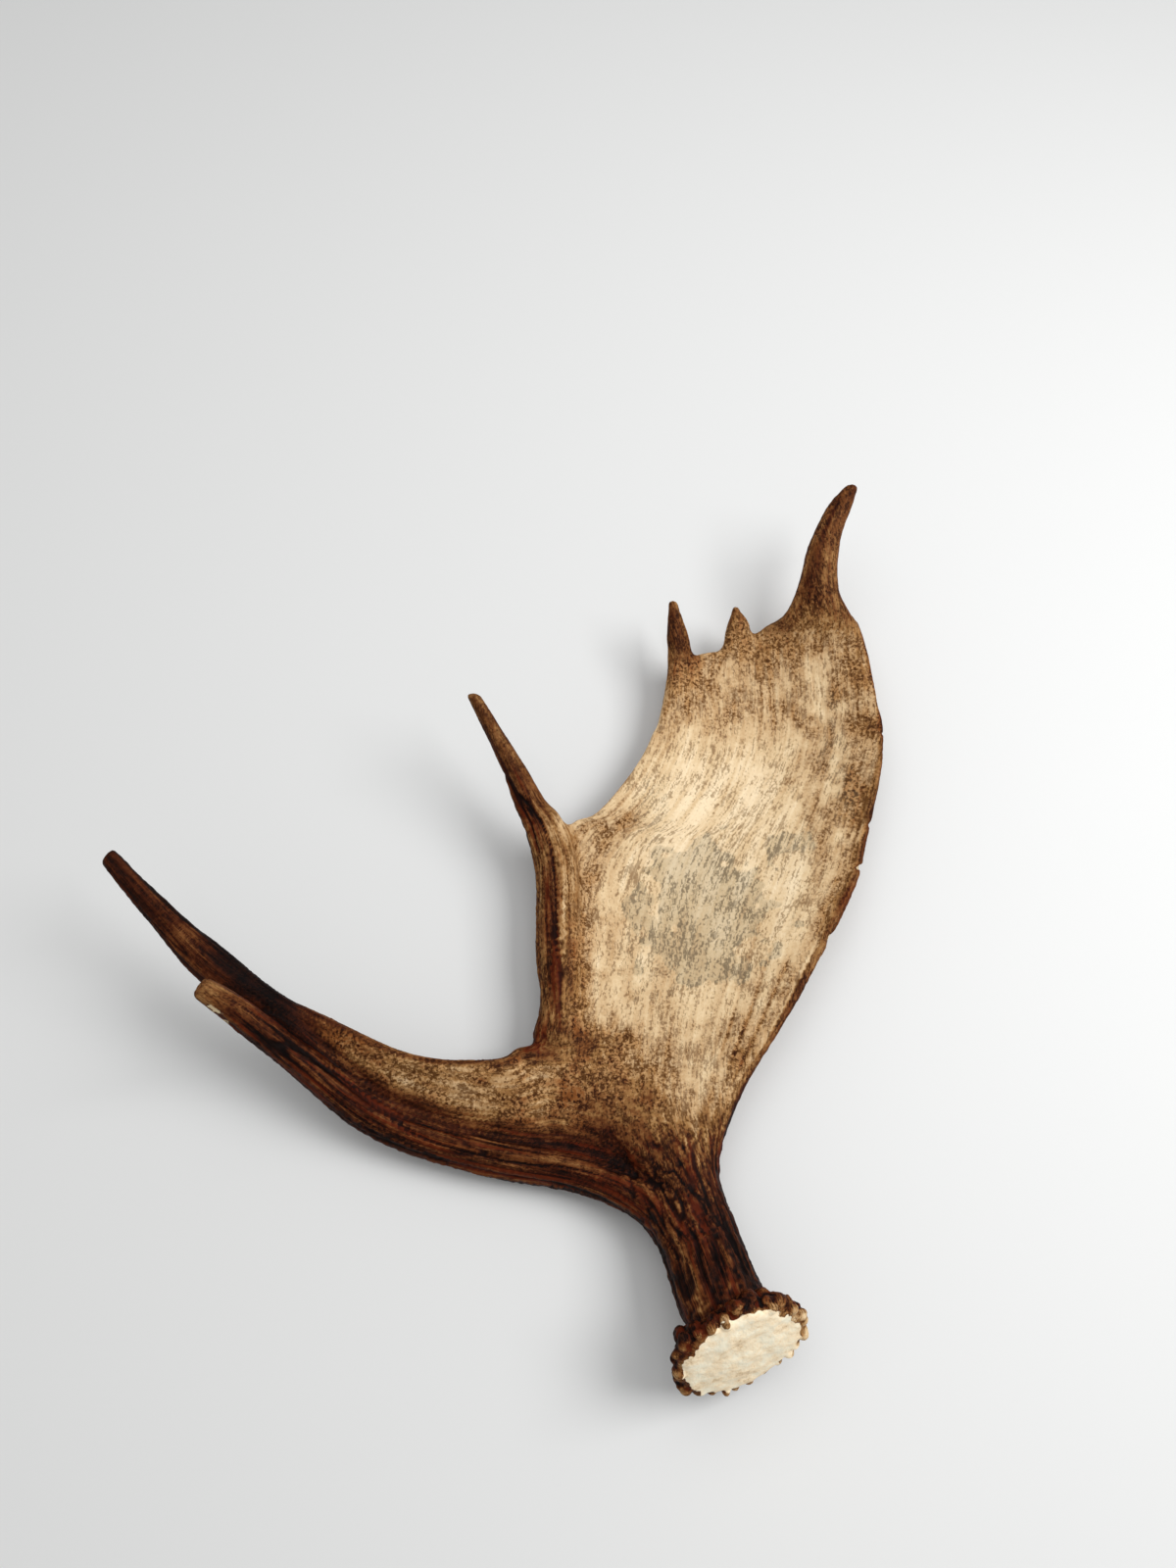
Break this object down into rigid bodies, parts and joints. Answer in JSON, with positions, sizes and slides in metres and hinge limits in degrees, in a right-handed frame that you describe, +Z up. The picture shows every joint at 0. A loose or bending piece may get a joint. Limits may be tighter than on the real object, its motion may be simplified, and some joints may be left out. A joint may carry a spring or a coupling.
{
  "type": "moose antler",
  "caption": "Shed moose antler with burr, cupped main palm, side tine and forked brow palm, lying on its convex back.",
  "frame": {"origin": "under the middle of the antler's box, on the surface it rests on", "axes": "+Z up, +Y from the burr towards the top points of the main palm, -X towards the brow tines"},
  "size_m": [0.4912, 0.5736, 0.0955],
  "materials": {
    "beam_bone": "satin, furrowed dark brown bone",
    "palm_bone": "matt, pale tan speckled bone",
    "brow_bone": "satin, brown furrowed bone",
    "tine_bone": "polished amber brown bone"
  },
  "bodies": {
    "root": {"beam": "beam_bone", "main_palm": "palm_bone", "side_tine": "tine_bone", "brow_palm": "brow_bone", "upper_brow_tine": "tine_bone", "lower_brow_tine": "tine_bone"}
  },
  "joints": []
}
